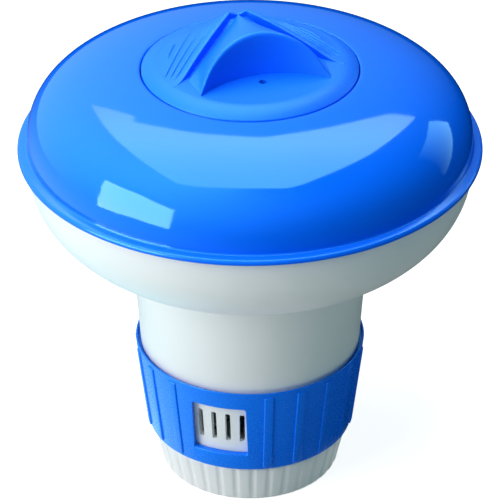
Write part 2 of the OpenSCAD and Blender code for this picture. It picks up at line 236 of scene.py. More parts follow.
def rounded(corners):
    """Points of a closed section whose corners are (radius, height, rounding)."""
    points = []
    for i, (r, z, rounding) in enumerate(corners):
        corner = Vector((r, z))
        if rounding:
            before = (Vector(corners[i - 1][:2]) - corner).normalized()
            after = (Vector(corners[(i + 1) % len(corners)][:2]) - corner).normalized()
            points += arc(corner, before, after, rounding)
        else:
            points.append(corner)
    return points


def bulge(foot_r, height, full, r_from, r_to, steps=CURVE_STEPS):
    """Radius and height of a full, rounded profile between two radii, measured from its foot."""
    first = math.acos((r_from / foot_r) ** (full / 2))
    last = math.acos((r_to / foot_r) ** (full / 2))
    points = []
    for k in range(steps + 1):
        angle = first + (last - first) * k / steps
        points.append((foot_r * math.cos(angle) ** (2 / full), height * math.sin(angle) ** (2 / full)))
    return points


def bulge_radius(foot_r, height, full, up):
    """Radius of such a profile at a height above its foot."""
    return foot_r * (1 - (up / height) ** full) ** (1 / full)


def turned(name, section, steps=TURN_STEPS, angle=30):
    """Turns a closed section of (radius, height) points about the axis."""
    fresh()
    bpy.ops.mesh.primitive_plane_add(size=MM)
    piece = bpy.context.object
    piece.name = name
    bpy.ops.object.mode_set(mode="EDIT")
    bpy.ops.mesh.merge(type="CENTER")
    bpy.ops.mesh.select_all(action="SELECT")
    bpy.ops.transform.translate(value=(section[0][0] * MM, 0, section[0][1] * MM))
    for here, there in zip(section, section[1:] + section[:1]):
        step = ((there[0] - here[0]) * MM, 0, (there[1] - here[1]) * MM)
        bpy.ops.mesh.extrude_vertices_move(TRANSFORM_OT_translate={"value": step})
    bpy.ops.mesh.select_all(action="SELECT")
    bpy.ops.mesh.spin(steps=steps, angle=2 * math.pi, center=(0, 0, 0), axis=(0, 0, 1))
    bpy.ops.mesh.select_all(action="SELECT")
    bpy.ops.mesh.remove_doubles(threshold=WELD)
    bpy.ops.mesh.normals_make_consistent(inside=False)
    bpy.ops.object.mode_set(mode="OBJECT")
    smooth(piece, angle)
    return piece


def cut_away(piece, tool):
    """Cuts a closed tool shape out of a piece and removes the tool."""
    only(piece)
    cut = piece.modifiers.new("cut", "BOOLEAN")
    cut.operation = "DIFFERENCE"
    cut.solver = "EXACT"
    cut.object = tool
    bpy.ops.object.modifier_apply(modifier=cut.name)
    bpy.data.objects.remove(tool)


def joined(pieces):
    """Makes one object of several."""
    fresh()
    for piece in pieces:
        piece.select_set(True)
    bpy.context.view_layer.objects.active = pieces[0]
    if len(pieces) > 1:
        bpy.ops.object.join()
    return pieces[0]


def block(name, size, place, turn_z, lean, bevel, segments=4):
    """A bevelled block, size (wide, deep, high), set at (radius, height) and turned about the axis."""
    fresh()
    bpy.ops.mesh.primitive_cube_add(size=MM)
    piece = bpy.context.object
    piece.name = name
    bpy.ops.object.mode_set(mode="EDIT")
    bpy.ops.mesh.select_all(action="SELECT")
    bpy.ops.transform.resize(value=size)
    bpy.ops.mesh.bevel(offset=bevel * MM, segments=segments)
    bpy.ops.object.mode_set(mode="OBJECT")
    piece.rotation_euler = (lean, 0, turn_z)
    radius, height = place
    piece.location = Vector((radius * math.sin(turn_z), -radius * math.cos(turn_z), height)) * MM
    bpy.ops.object.transform_apply(location=True, rotation=True, scale=True)
    return piece


# Shells of the float


def make_dome():
    """Blue upper shell: brim, full curve, recess for the lid and filler throat."""
    inner_r = DOME_R - WALL
    inner_top = THROAT_OUTER_R + WALL
    foot_r = bulge_radius(DOME_OUTER_R, DOME_H, DOME_FULL, BRIM_CROWN + FILLET_SHARE * FLANGE_FILLET)
    outside = bulge(DOME_OUTER_R, DOME_H, DOME_FULL, foot_r, RECESS_R)
    inside = bulge(inner_r, DOME_H - WALL, DOME_FULL, inner_top, inner_r)
    outer = [(r, DOME_Z + up, 0) for r, up in outside]
    inner = [(r, DOME_Z + up, 0) for r, up in inside]
    outer[-1] = (RECESS_R, SEAM_Z, RECESS_ROUND)
    section = rounded(
        [(inner_r, FLANGE_Z, 0), (FLANGE_R, FLANGE_Z, FINE_R),
         (FLANGE_R, DOME_Z + BRIM_EDGE, BRIM_ROUND), (DOME_OUTER_R, DOME_Z + BRIM_CROWN, FLANGE_FILLET)]
        + outer
        + [(RECESS_R, SEAT_Z, 0), (THROAT_R, SEAT_Z, EDGE_R), (THROAT_R, THROAT_Z, EDGE_R),
           (THROAT_OUTER_R, THROAT_Z, EDGE_R), (THROAT_OUTER_R, SEAT_Z - WALL, 0),
           (inner_top, SEAT_Z - WALL, 0)]
        + inner[:-1]
    )
    return turned("dome", section)


def make_bowl():
    """White lower shell: bowl, neck, and the web and collar inside it."""
    blend_steps = 12
    bore_h = 13
    web_t = 2.4
    collar_h = 12
    blend_r = NECK_R + NECK_FILLET * (1 + math.cos(NECK_TURN))
    outer = bulge(BOWL_R, BOWL_H, BOWL_FULL, BOWL_R, blend_r)
    blend_z = RIM_Z - outer[-1][1] - NECK_FILLET * math.sin(NECK_TURN)
    blend = []
    for k in range(1, blend_steps + 1):
        angle = NECK_TURN + (math.pi - NECK_TURN) * k / blend_steps
        radius = NECK_R + NECK_FILLET * (1 + math.cos(angle))
        blend.append((radius, blend_z + NECK_FILLET * math.sin(angle), 0))
    inner_r = BOWL_R - WALL
    inner_h = BOWL_H - WALL
    collar_r = THROAT_OUTER_R + FIT_GAP
    collar_outer_r = collar_r + WALL
    web_z = BOWL_Z + FIT_GAP
    collar_top = web_z + collar_h
    inner_rim = bulge_radius(inner_r, inner_h, BOWL_FULL, WALL)
    inner = bulge(inner_r, inner_h, BOWL_FULL, collar_outer_r + 1, inner_rim)
    tongue_r = bulge_radius(DOME_R - WALL, DOME_H - WALL, DOME_FULL, TONGUE_Z - DOME_Z) - FIT_GAP
    bore = NECK_LOW_R - WALL
    section = rounded(
        [(tongue_r, RIM_Z, 0), (BOWL_R, RIM_Z, RIM_ROUND)]
        + [(r, RIM_Z - up, 0) for r, up in outer[2:]]
        + blend
        + [(NECK_LOW_R, NECK_LOW_Z, FINE_R), (bore, NECK_LOW_Z, FINE_R), (bore, NECK_LOW_Z + bore_h, 0),
           (NECK_R - WALL, web_z - web_t - WALL, 0), (THROAT_R, web_z - web_t, 0),
           (THROAT_R, web_z, FINE_R), (collar_r, web_z, 0), (collar_r, collar_top, FINE_R),
           (collar_outer_r, collar_top, FINE_R), (collar_outer_r, RIM_Z - inner[0][1], 0)]
        + [(r, RIM_Z - up, 0) for r, up in inner]
        + [(tongue_r - WALL, RIM_Z, 0), (tongue_r - WALL, TONGUE_Z, EDGE_R), (tongue_r, TONGUE_Z, EDGE_R)]
    )
    return turned("bowl", section)


# Lid with the hood handle


ridge_run = RIDGE_BACK - RIDGE_FRONT
RIDGE_LEN = ridge_run.length
RIDGE_ALONG = ridge_run.normalized()
RIDGE_OUT = Vector((RIDGE_ALONG.y, -RIDGE_ALONG.x))
RIDGE_CLIMB = (RIDGE_BACK_Z - RIDGE_FRONT_Z) / RIDGE_LEN
ROOF_OUT = -RIDGE_W / 2 - GROOVE_W
LID_FLOOR = LID_RISE - SCOOP_SINK
SCOOP_FRONT_R = LID_FLAT_R - SCOOP_SINK
HIDDEN = 1.2


def ridge_point(along, out=0):
    """Point in plan on the right ridge, or beside it."""
    return RIDGE_FRONT + RIDGE_ALONG * along + RIDGE_OUT * out


def crest_height(along):
    """Height of the ridge's crest, which bows up a little."""
    share = along / RIDGE_LEN
    return RIDGE_FRONT_Z + RIDGE_CLIMB * along + 4 * RIDGE_BOW * share * (1 - share)


def roof_edge(along):
    """Height of the roof's edge at the groove."""
    return LID_RISE + ROOF_START + ROOF_CLIMB * along


def foot_reach(point, heading):
    """Distance from a point in plan to the foot of the flank, in one direction."""
    ahead = point.dot(heading)
    return math.sqrt(ahead * ahead + FOOT_R * FOOT_R - point.length_squared) - ahead


def lid_top(radius):
    """Height of the lid's plain top and its sloping border."""
    beyond = max(radius - LID_FLAT_R, 0) / LID_BORDER
    return LID_RISE * (1 - beyond * beyond)


def scoop_wall(x):
    """Place of the scoop's wall, front to back, at a distance from the middle."""
    return SCOOP_Y - SCOOP_R + math.sqrt(max(SCOOP_R * SCOOP_R - x * x, 0))


def arch_height(x):
    """Height of the arch over the scoop's wall."""
    crown = math.sqrt(max(VAULT_R * VAULT_R - x * x, 0)) - VAULT_R
    height = HOOD_H + crown / math.cos(VAULT_FALL) - (scoop_wall(x) - SCOOP_Y) * math.tan(VAULT_FALL)
    above = height - LID_RISE
    return LID_RISE + (above + math.sqrt(above * above + ARCH_FLARE * ARCH_FLARE)) / 2


def arch_foot():
    """Distance from the middle at which the arch comes down to the lid."""
    halvings = 40
    inside, outside = 0, VAULT_R
    for _ in range(halvings):
        middle = (inside + outside) / 2
        if arch_height(middle) > LID_RISE + ARCH_END:
            inside = middle
        else:
            outside = middle
    return inside


def shaped_grid(name, columns, rows, place):
    """A grid whose point at (column, row) goes to place(column, row), closed along its border."""
    fresh()
    bpy.ops.mesh.primitive_grid_add(x_subdivisions=columns, y_subdivisions=rows, size=2)
    piece = bpy.context.object
    piece.name = name
    for vertex in piece.data.vertices:
        column = round((vertex.co.x + 1) / 2 * columns)
        row = round((vertex.co.y + 1) / 2 * rows)
        x, y, up = place(column, row)
        vertex.co = Vector((x, y, SEAM_Z + up)) * MM
    bpy.ops.object.mode_set(mode="EDIT")
    bpy.ops.mesh.select_all(action="DESELECT")
    bpy.ops.mesh.select_mode(type="EDGE")
    bpy.ops.mesh.select_non_manifold(extend=False)
    bpy.ops.mesh.fill()
    bpy.ops.mesh.select_all(action="SELECT")
    bpy.ops.mesh.remove_doubles(threshold=WELD)
    bpy.ops.mesh.dissolve_degenerate(threshold=WELD)
    bpy.ops.mesh.select_all(action="SELECT")
    bpy.ops.mesh.normals_make_consistent(inside=False)
    bpy.ops.object.mode_set(mode="OBJECT")
    return piece


def make_roof():
    """Hood's roof: a fan of straight lines from the rounded arch over the scoop to the two grooves."""
    columns, wall_rows, arc_rows, roof_rows = 96, 6, 6, 20
    rows = wall_rows + arc_rows + roof_rows + 1
    rim_lift = 0.35
    wall_share = 0.5
    roof_share = 0.35
    soft = 0.1
    foot = arch_foot()
    apex = -ridge_point(0, ROOF_OUT).x / RIDGE_ALONG.x

    def place(column, row):
        side = 2 * column / columns - 1
        x = foot * math.sin(side * math.pi / 2)
        rim = CROWN_RIM + (FOOT_RIM - CROWN_RIM) * side * side
        front = Vector((x, scoop_wall(x), arch_height(x)))
        front.z += rim_lift * (rim - CROWN_RIM) * min((front.z - LID_RISE) / rim, 1)
        share = (math.sqrt(side * side + soft * soft) - soft) / (math.sqrt(1 + soft * soft) - soft)
        along = apex * (1 - share)
        spot = ridge_point(along, ROOF_OUT)
        back = Vector((math.copysign(spot.x, side), spot.y, roof_edge(along)))
        low = Vector((front.x, front.y, HIDDEN))
        if column in (0, columns) or row in (0, rows):
            edge = low.lerp(back, row / rows)
            return edge.x, edge.y, HIDDEN
        rounding = min(rim, wall_share * (front.z - HIDDEN), roof_share * (back - front).length)
        bend = arc(front, Vector((0, 0, -1)), (back - front).normalized(), rounding, arc_rows)
        if row < wall_rows:
            return low.lerp(bend[0], row / wall_rows)
        if row <= wall_rows + arc_rows:
            return bend[row - wall_rows]
        return bend[-1].lerp(back, (row - wall_rows - arc_rows) / roof_rows)

    return shaped_grid("hood_roof", columns, rows, place)


def ridge_stations():
    """Columns across a ridge: what each one follows, and how far along that it lies."""
    tuck = ROOF_OUT - 1
    floor_end = -RIDGE_W / 2 - 0.1
    wall_n, edge_n, crest_n, rib_n, flank_n = 4, 5, 3, 18, 16
    past_foot = 1.04
    groove = [("floor", tuck), ("floor", ROOF_OUT), ("floor", floor_end)]
    wall = [("wall", k / wall_n) for k in range(wall_n)]
    edge = [("edge", k / edge_n) for k in range(edge_n + 1)]
    crest = [("crest", k / crest_n) for k in range(1, crest_n + 1)]
    ribs = [("ribs", k / rib_n) for k in range(1, rib_n * GRIP_RIBS + 1)]
    flank = [("flank", k / flank_n) for k in range(1, flank_n + 1)]
    return [("low", tuck)] + groove + wall + edge + crest + ribs + flank + [("end", past_foot)]


def grip(count, along, room):
    """Height of the grip ribs, counted in ribs from the crest; the last one is short."""
    rib_place = 0.7
    first_end, last_end = LONG_GRIP_FROM, RIDGE_LEN - LONG_GRIP_SPARE
    if count > GRIP_RIBS - 1:
        first_end, last_end = SHORT_GRIP
    ends = min((along - first_end) / GRIP_FADE, (last_end - along) / GRIP_FADE, room / GRIP_FOOT_FADE)
    fade = math.sin(min(max(ends, 0), 1) * math.pi / 2)
    across = (count - math.floor(count) - rib_place) / (GRIP_W / 2)
    return GRIP_H * fade * math.cos(across * math.pi / 2) if abs(across) < 1 else 0


def make_ridge(side):
    """One ridge: groove floor, upright inner face, crest, and ribbed flank that fans out round the back."""
    stations = ridge_stations()
    columns = len(stations) - 1
    straight, fan = 76, 25
    rows = straight + fan
    start = -7
    fade_end = 6
    fan_turn = math.atan2(RIDGE_OUT.x, RIDGE_OUT.y)
    saddle = 0.9
    middle = Vector((0, RIDGE_BACK.y + saddle))
    dip = RIDGE_BACK_Z - roof_edge(RIDGE_LEN) - saddle
    edge_r = 0.35
    flank_bend = 1.25
    crest_out = 0.2
    close_run = 8
    close_share = 0.15
    widest = 0.97
    front_sink = 0.05
    foot_sink = 0.02

    def place(column, row):
        along = min(start + (RIDGE_LEN - start) * row / straight, RIDGE_LEN)
        round_back = min(max(row - straight, 0) / (fan - 1), 1)
        turn = fan_turn * round_back
        heading = RIDGE_OUT * math.cos(turn) + RIDGE_ALONG * math.sin(turn)
        root = ridge_point(along).lerp(middle, round_back)
        reach = foot_reach(root, heading)
        crest = crest_height(max(along, fade_end))
        if along < fade_end:
            lift = crest - LID_RISE
            crest = LID_RISE - front_sink + lift * ((along - start) / (fade_end - start)) ** 2
        closing = min((RIDGE_LEN - along) / close_run + close_share, 1)
        crest -= dip * (1 - math.cos(math.pi * round_back)) / 2
        floor = min(roof_edge(along) - GROOVE_D * closing, crest - 2 * edge_r)
        kind, share = stations[column]
        if kind in ("low", "floor"):
            out, up = share, floor
        elif kind == "wall":
            out, up = -RIDGE_W / 2, floor + (crest - edge_r - floor) * share
        elif kind == "edge":
            angle = share * math.pi / 2
            out = -RIDGE_W / 2 + edge_r * (1 - math.cos(angle))
            up = crest - edge_r * (1 - math.sin(angle))
        elif kind == "crest":
            out = -RIDGE_W / 2 + edge_r + (crest_out + RIDGE_W / 2 - edge_r) * share
            up = crest
        else:
            pitch = GRIP_PITCH_FRONT + (GRIP_PITCH_BACK - GRIP_PITCH_FRONT) * max(along, 0) / RIDGE_LEN
            count = share if kind == "ribs" else GRIP_RIBS
            out = min(crest_out + pitch * count, widest * reach)
            if kind != "ribs":
                out += (reach - out) * share
            fall = (out - crest_out) / (reach - crest_out)
            plain = lid_top((root + heading * out).length) - foot_sink
            up = plain + (crest - plain) * max(1 - fall, 0) ** flank_bend
            if kind == "ribs":
                up += grip(count, along, reach - out)
        if kind in ("low", "end") or row in (0, rows):
            up = HIDDEN
        spot = root + heading * out
        return side * spot.x, spot.y, up

    return shaped_grid("hood_ridge", columns, rows, place)


def sharp_edges(piece, wanted, sharper=35):
    """Selects the edges of a piece whose two ends are wanted and whose faces meet at a sharp angle."""
    only(piece)
    bpy.ops.object.mode_set(mode="EDIT")
    bpy.ops.mesh.select_mode(type="EDGE")
    bpy.ops.mesh.select_all(action="DESELECT")
    bpy.ops.object.mode_set(mode="OBJECT")
    mesh = piece.data
    normals = {}
    for face in mesh.polygons:
        for key in face.edge_keys:
            normals.setdefault(key, []).append(face.normal)
    for edge in mesh.edges:
        both = normals.get(tuple(sorted(edge.vertices)), [])
        sharp = len(both) == 2 and both[0].angle(both[1], 0) > math.radians(sharper)
        edge.select = sharp and all(wanted(mesh.vertices[i].co / MM) for i in edge.vertices)


def bevel_edges(piece, size, segments=3):
    """Rounds the selected edges."""
    only(piece)
    bpy.ops.object.mode_set(mode="EDIT")
    bpy.ops.mesh.bevel(offset=size * MM, segments=segments)
    bpy.ops.object.mode_set(mode="OBJECT")


def scoop_cutter():
    """Lens-shaped block that sinks the scoop's floor between its wall and the lid's border."""
    steps = 48
    centre_y = SCOOP_Y - SCOOP_R
    corner_y = (SCOOP_R ** 2 - SCOOP_FRONT_R ** 2 - centre_y ** 2) / (-2 * centre_y)
    corner_x = math.sqrt(SCOOP_FRONT_R ** 2 - corner_y ** 2)
    wall_turn = math.asin(corner_x / SCOOP_R)
    front_turn = math.asin(corner_x / SCOOP_FRONT_R)
    outline = []
    for k in range(steps):
        turn = wall_turn * (1 - 2 * k / steps)
        outline.append(Vector((SCOOP_R * math.sin(turn), centre_y + SCOOP_R * math.cos(turn), 0)))
    for k in range(steps):
        turn = front_turn * (2 * k / steps - 1)
        outline.append(Vector((SCOOP_FRONT_R * math.sin(turn), -SCOOP_FRONT_R * math.cos(turn), 0)))
    fresh()
    bpy.ops.mesh.primitive_circle_add(vertices=2 * steps, fill_type="NGON")
    cutter = bpy.context.object
    for vertex, point in zip(cutter.data.vertices, outline):
        vertex.co = (point + Vector((0, 0, SEAM_Z + LID_FLOOR))) * MM
    bpy.ops.object.mode_set(mode="EDIT")
    bpy.ops.mesh.select_all(action="SELECT")
    bpy.ops.mesh.extrude_region_move(TRANSFORM_OT_translate={"value": (0, 0, HOOD_H * MM)})
    bpy.ops.mesh.select_all(action="SELECT")
    bpy.ops.mesh.normals_make_consistent(inside=False)
    bpy.ops.object.mode_set(mode="OBJECT")
    return cutter


def make_lid():
    """Screw lid: sloping border, sunk scoop floor, skirt, hood and vent hole."""
    border_steps = 20
    border = []
    for k in range(1, border_steps):
        radius = LID_FLAT_R + LID_BORDER * k / border_steps
        border.append((radius, SEAM_Z + lid_top(radius), 0))
    under = SEAM_Z + LID_FLOOR - WALL
    section = rounded(
        [(0, SEAM_Z + LID_RISE, 0), (LID_FLAT_R, SEAM_Z + LID_RISE, 0)]
        + border
        + [(LID_R, SEAM_Z, LID_ROUND), (LID_R, SEAM_Z - LID_EDGE, EDGE_R), (SKIRT_R, SEAM_Z - LID_EDGE, 0),
           (SKIRT_R, SEAM_Z + SKIRT_LOW, EDGE_R), (SKIRT_R - WALL, SEAM_Z + SKIRT_LOW, EDGE_R),
           (SKIRT_R - WALL, SEAM_Z - LID_EDGE, 0), (LID_FLAT_R - WALL, under, 0), (0, under, 0)]
    )
    lid = turned("lid_cap", section)
    cut_away(lid, scoop_cutter())

    def at_scoop(point):
        """Whether a point is on the front edge of the sunk floor."""
        on_top = abs(point.z - SEAM_Z - LID_RISE) < NEAR
        return on_top and abs(math.hypot(point.x, point.y) - SCOOP_FRONT_R) < NEAR

    sharp_edges(lid, at_scoop)
    bevel_edges(lid, SCOOP_BEVEL)
    fresh()
    bpy.ops.mesh.primitive_cylinder_add(
        vertices=VENT_STEPS, radius=VENT_R * MM, depth=4 * WALL * MM, location=(0, VENT_Y * MM, under * MM)
    )
    vent = bpy.context.object
    bpy.ops.object.transform_apply(location=True, rotation=True, scale=True)
    cut_away(lid, vent)
    lid = joined([lid, make_ridge(1), make_ridge(-1), make_roof()])
    smooth(lid, HOOD_SHARP)
    return lid


# Flow ring


def ring_radius(z):
    """Outer radius of the ring's cone at a height."""
    return RING_LOW_R + RING_SLOPE * (z - RING_Z)


def window_turn(i):
    """Turn of one window about the axis, from the handle's front."""
    return math.radians(WINDOW_FIRST + i * 360 / WINDOW_N)


def make_ring():
    """Turning collar with rounded windows and raised grip ribs."""
    section = rounded([
        (RING_LOW_R - RING_WALL, RING_Z, FINE_R), (RING_LOW_R, RING_Z, RING_FOOT_ROUND),
        (LIP_R, LIP_Z, LIP_ROUND), (LIP_R - LIP_T, LIP_Z, FINE_R),
        (MOUTH_R + MOUTH_FLARE, MOUTH_Z, 0), (ring_radius(MOUTH_Z) - RING_WALL, MOUTH_Z, 0),
    ])
    ring = turned("flow_collar", section, angle=RING_SHARP)
    deep = 30
    size = (WINDOW_W, deep, WINDOW_H)
    cutters = []
    for i in range(WINDOW_N):
        cutters.append(block("window", size, (RING_TOP_R, WINDOW_Z), window_turn(i), 0, WINDOW_ROUND))
    cut_away(ring, joined(cutters))

    def at_window(point):
        """Whether a point is on the ring's outer face, beside a window."""
        outside = abs(math.hypot(point.x, point.y) - ring_radius(point.z)) < NEAR
        return outside and abs(point.z - WINDOW_Z) < WINDOW_H / 2 + 0.5

    sharp_edges(ring, at_window)
    bevel_edges(ring, WINDOW_BEVEL)
    low = RING_Z + RIB_LOW
    high = LIP_Z - RIB_HIGH
    middle = (low + high) / 2
    size = (math.radians(RIB_ANGLE) * ring_radius(middle), RIB_ROOT + RIB_OUT, high - low)
    place = (ring_radius(middle) + (RIB_OUT - RIB_ROOT) / 2, middle)
    lean = math.atan(RING_SLOPE)
    ribs = []
    for i in range(WINDOW_N):
        for k in range(RIB_N):
            turn = window_turn(i) + math.radians(180 / WINDOW_N + (k - (RIB_N - 1) / 2) * RIB_PITCH)
            ribs.append(block("rib", size, place, turn, lean, RIB_ROUND))
    ring = joined([ring] + ribs)
    smooth(ring, RING_SHARP)
    return ring


# Foot


def make_base():
    """Fluted foot with a rounded lower edge and a recess underneath."""
    side_steps = 6
    recess_r = 29.5
    recess_h = 0.8
    recess_slope = 1
    stud_r = 5
    stud_top = BASE_FLOOR + 5
    toe = 0.3
    toe_round = 1.6
    top_bevel = 1
    top_round = 0.5
    cup_r = BASE_R - FLUTE_D - FIT_GAP
    wall_top = BASE_H - BASE_EDGE / 2
    side = []
    for k in range(1, side_steps):
        radius = BASE_R + (BASE_TOP_R - BASE_R) * k / side_steps
        side.append((radius, BASE_EDGE + (wall_top - BASE_EDGE) * k / side_steps, 0))
    section = rounded(
        [(0, recess_h, 0), (recess_r, recess_h, FINE_R), (recess_r + recess_slope, 0, FINE_R),
         (BASE_R - toe, 0, toe_round)]
        + side
        + [(BASE_TOP_R, wall_top, top_round), (BASE_TOP_R - top_bevel, BASE_H, EDGE_R), (cup_r, BASE_H, 0),
           (cup_r, BASE_FLOOR, 0), (stud_r, BASE_FLOOR, 0), (stud_r, stud_top, EDGE_R), (0, stud_top, 0)]
    )
    base = turned("foot", section, steps=FLUTE_N * FLUTE_STEPS)
    outer_skin = BASE_R - 1.8
    reach = math.sqrt(FLUTE_R ** 2 - (FLUTE_R - FLUTE_D) ** 2)
    for vertex in base.data.vertices:
        x, y, z = vertex.co / MM
        radius = math.hypot(x, y)
        if radius < outer_skin:
            continue
        turn = math.atan2(y, x) * FLUTE_N / (2 * math.pi)
        across = (turn - math.floor(turn) - 0.5) * 2 * math.pi * radius / FLUTE_N
        depth = 0
        if abs(across) < reach:
            depth = math.sqrt(FLUTE_R ** 2 - across ** 2) - (FLUTE_R - FLUTE_D)
        depth *= min(z / BASE_EDGE, 1)
        vertex.co.x *= (radius - depth) / radius
        vertex.co.y *= (radius - depth) / radius
    smooth(base, RING_SHARP)
    return base


# Materials


def hex_colour(text):
    """Linear colour of an sRGB hex value."""
    channels = [int(text[i:i + 2], 16) / 255 for i in (0, 2, 4)]
    linear = [c / 12.92 if c <= 0.04045 else ((c + 0.055) / 1.055) ** 2.4 for c in channels]
    return (*linear, 1)


def add_node(tree, kind, inputs=None, **settings):
    """Adds a node, with its settings, and its inputs as values or as links from other nodes."""
    made = tree.nodes.new(kind)
    for name, value in settings.items():
        setattr(made, name, value)
    for name, value in (inputs or {}).items():
        if isinstance(value, bpy.types.NodeSocket):
            tree.links.new(value, made.inputs[name])
        else:
            made.inputs[name].default_value = value
    return made


def new_material(name):
    """An empty node material and its tree."""
    material = bpy.data.materials.new(name)
    material.use_nodes = True
    material.node_tree.nodes.clear()
    return material, material.node_tree


DULL_ROUGH = 0.2
DULL_STEP = 0.4


def moulded_plastic(name, light, dark, flow, rough, grain, depth, ior, tint="FFFFFF", dull_below=0.0):
    """A moulded plastic: faint flow marks in its colour, and a fine skin in its gloss and relief.

    Flow marks, grain and its depth are in millimetres. The skin is duller below a height.
    """
    material, tree = new_material(name)
    place = add_node(tree, "ShaderNodeTexCoord").outputs["Object"]
    marks = add_node(tree, "ShaderNodeTexNoise", {
        "Vector": place, "Scale": 1 / (flow * MM), "Detail": 2.0, "Roughness": 0.4,
    })
    colour = add_node(tree, "ShaderNodeMix", data_type="RGBA")
    tree.links.new(marks.outputs["Fac"], colour.inputs[0])
    colour.inputs[6].default_value = hex_colour(dark)
    colour.inputs[7].default_value = hex_colour(light)
    skin = add_node(tree, "ShaderNodeTexNoise", {
        "Vector": place, "Scale": 1 / (grain * MM), "Detail": 3.0, "Roughness": 0.55,
    })
    gloss = add_node(tree, "ShaderNodeMapRange", {
        "Value": skin.outputs["Fac"], "From Min": 0.3, "From Max": 0.7,
        "To Min": rough[0], "To Max": rough[1],
    })
    height = add_node(tree, "ShaderNodeSeparateXYZ", {0: place})
    dull = add_node(tree, "ShaderNodeMapRange", {
        "Value": height.outputs["Z"],
        "From Min": (dull_below + DULL_STEP) * MM, "From Max": dull_below * MM,
        "To Min": 0.0, "To Max": DULL_ROUGH,
    })
    duller = add_node(tree, "ShaderNodeMath", {
        0: gloss.outputs["Result"], 1: dull.outputs["Result"],
    }, operation="MAXIMUM")
    relief = add_node(tree, "ShaderNodeBump", {
        "Height": skin.outputs["Fac"], "Strength": 1.0, "Distance": depth * MM,
    })
    surface = add_node(tree, "ShaderNodeBsdfPrincipled", {
        "Base Color": colour.outputs[2], "Roughness": duller.outputs[0],
        "Normal": relief.outputs["Normal"], "IOR": ior, "Specular Tint": hex_colour(tint),
    })
    add_node(tree, "ShaderNodeOutputMaterial", {"Surface": surface.outputs["BSDF"]})
    return material


# Polished-tool ABS: deep clear blue with crisp, slightly blue reflections and the faintest orange peel
gloss_blue = moulded_plastic(
    "gloss_blue_abs", "0469F8", "0363F4", flow=30, rough=(0.05, 0.08), grain=2.5, depth=0.0012, ior=1.49,
    tint="A0FFFF", dull_below=DOME_Z + BRIM_CROWN,
)
# The same ABS from an etched tool: broad soft reflections on the lid
soft_blue = moulded_plastic(
    "satin_blue_abs", "0469F8", "0363F4", flow=30, rough=(0.4, 0.46), grain=1.5, depth=0.002, ior=1.49,
    tint="A0FFFF",
)
# Satin polypropylene in the same blue: soft broad highlights from a fine etched tool
satin_blue = moulded_plastic(
    "satin_blue_polypropylene", "0475F8", "036FF4", flow=30, rough=(0.24, 0.3), grain=0.5, depth=0.006,
    ior=1.49, tint="A0FFFF",
)
# Natural white polypropylene: a cool white with a waxy, even sheen
satin_white = moulded_plastic(
    "satin_white_polypropylene", "E9ECE9", "E4E8E5", flow=30, rough=(0.34, 0.42), grain=0.6, depth=0.005,
    ior=1.49,
)
# Moulded nitrile rubber: near black and dull, with a dusty grain
rubber = moulded_plastic(
    "black_nitrile_rubber", "202123", "18191A", flow=6, rough=(0.6, 0.75), grain=0.4, depth=0.01, ior=1.52,
)
# Painted grey iron: dark, slightly mottled paint over a sand-cast skin
iron = moulded_plastic(
    "painted_cast_iron", "4B4D50", "3E4043", flow=4, rough=(0.45, 0.6), grain=1.2, depth=0.08, ior=1.5,
)


def dress(piece, material, body, slot, *nodes):
    """Gives a new piece its finish and its body, and hides the imported nodes that it stands for; the slot
    is not used.
    """
    piece.data.materials.clear()
    piece.data.materials.append(material)
    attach(piece, body)
    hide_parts(*nodes)


dress(make_dome(), gloss_blue, "float", "blue_shell", "dome_shell")
dress(make_bowl(), satin_white, "float", "white_shell", "bowl_shell")
dress(make_base(), satin_white, "float", "white_shell", "base_cap")
dress(make_ring(), satin_blue, "flow_ring", "blue_ring", "flow_ring")
dress(make_lid(), soft_blue, "lid", "blue_shell", "lid")

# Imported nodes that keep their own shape
kept = {
    "slot_basket": satin_white, "tablet_grate": satin_white, "filler_sleeve": satin_white,
    "rim_gasket": rubber, "sleeve_top_seal": rubber, "sleeve_foot_seal": rubber, "lid_seal": rubber,
    "ballast_disc": iron,
}
for node_name, material in kept.items():
    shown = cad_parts[node_name]
    shown.data.materials.clear()
    shown.data.materials.append(material)

# Camera at the photograph's viewing angle
CAMERA_TURN = math.radians(253.4)
CAMERA_RISE = math.radians(31.575)
CAMERA_FAR = 1.330
SENSOR = 36
LENS = 229.4
LOOK_AT = Vector((0, 0, 0.101))
outwards = Vector((math.cos(CAMERA_TURN), math.sin(CAMERA_TURN), 0))
rightwards = Vector((-outwards.y, outwards.x, 0))
back = outwards * math.cos(CAMERA_RISE) + Vector((0, 0, math.sin(CAMERA_RISE)))
camera_data = bpy.data.cameras.new("camera")
camera_data.sensor_width = SENSOR
camera_data.lens = LENS
camera = bpy.data.objects.new("camera", camera_data)
bpy.context.scene.collection.objects.link(camera)
camera.location = LOOK_AT + back * CAMERA_FAR
camera.rotation_euler = back.to_track_quat("Z", "Y").to_euler()
bpy.context.scene.camera = camera

# Stage: white floor and backdrop, and paper cards that the glossy shells reflect


def background_rays(tree):
    """1 for rays that should see the white background: camera, glossy and transmission rays."""
    path = add_node(tree, "ShaderNodeLightPath")
    first = add_node(tree, "ShaderNodeMath", operation="ADD", use_clamp=True)
    tree.links.new(path.outputs["Is Camera Ray"], first.inputs[0])
    tree.links.new(path.outputs["Is Glossy Ray"], first.inputs[1])
    both = add_node(tree, "ShaderNodeMath", operation="ADD", use_clamp=True)
    tree.links.new(first.outputs[0], both.inputs[0])
    tree.links.new(path.outputs["Is Transmission Ray"], both.inputs[1])
    return both.outputs[0]


